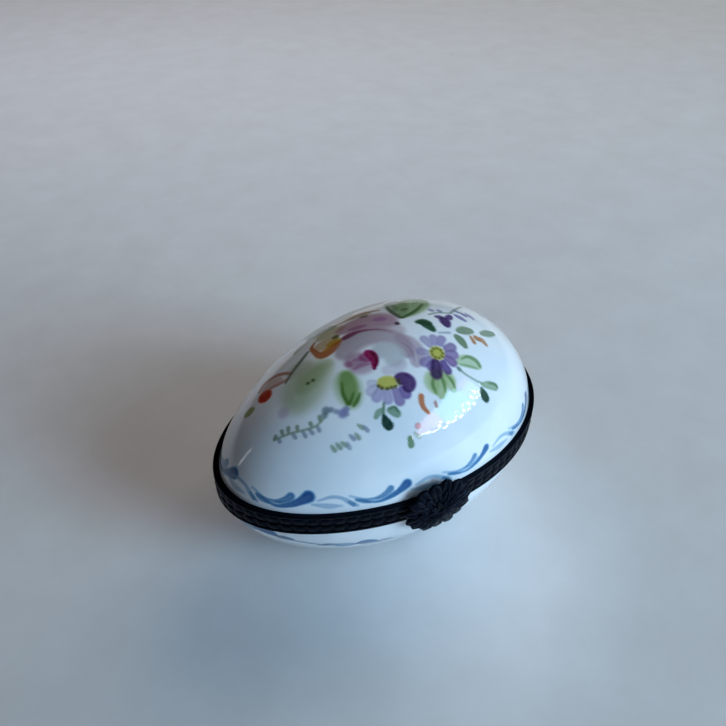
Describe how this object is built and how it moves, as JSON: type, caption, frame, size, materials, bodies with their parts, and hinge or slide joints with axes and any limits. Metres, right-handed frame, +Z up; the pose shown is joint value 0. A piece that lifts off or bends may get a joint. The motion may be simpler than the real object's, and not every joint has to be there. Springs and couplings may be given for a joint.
{
  "type": "porcelain trinket box",
  "caption": "Egg-shaped glazed porcelain trinket box lying on its side, painted with flowers, with a hinged lid, dark beaded metal rims and a flower-shaped spring clasp.",
  "frame": {"origin": "middle of the flat foot that the box stands on, under the middle of the egg's length", "axes": "+X toward the egg's blunt end, +Y toward the hinge, so the clasp is on -Y, +Z up"},
  "size_m": [0.0666, 0.0505, 0.0409],
  "materials": {
    "porcelain": "gloss",
    "setting_cement": "matte",
    "band_metal": "satin",
    "rim_metal": "satin",
    "flower_metal": "satin",
    "worn_pin": "satin"
  },
  "bodies": {
    "base": {"base_shell": "porcelain", "base_cement_bed": "setting_cement", "base_rim_ring": "rim_metal", "base_band": "band_metal", "base_bead_wire": "band_metal", "base_knuckle_left": "band_metal", "base_knuckle_middle": "band_metal", "base_knuckle_right": "band_metal", "hinge_pin": "worn_pin", "clasp_catch": "band_metal"},
    "lid": {"lid_shell": "porcelain", "lid_cement_bed": "setting_cement", "lid_rim_ring": "rim_metal", "lid_band": "band_metal", "lid_bead_wire": "band_metal", "lid_knuckle_left": "band_metal", "lid_knuckle_right": "band_metal", "clasp_bracket": "band_metal"},
    "clasp": {"clasp_tongue": "band_metal", "clasp_outer_petals": "flower_metal", "clasp_inner_petals": "flower_metal", "clasp_rivet": "flower_metal"}
  },
  "joints": [
    {"name": "lid_hinge", "type": "hinge", "parent": "base", "child": "lid", "pos_m": [0.004, 0.02385, 0.02015], "axis": [-1, 0, 0], "range_deg": [0, 75]},
    {"name": "clasp_flex", "type": "hinge", "parent": "lid", "child": "clasp", "pos_m": [-0.004, -0.0222, 0.02205], "axis": [-0.9874, 0.1584, 0], "range_deg": [0, 5], "stiffness_Nm_per_rad": 0.2, "springref_deg": -2.01}
  ]
}
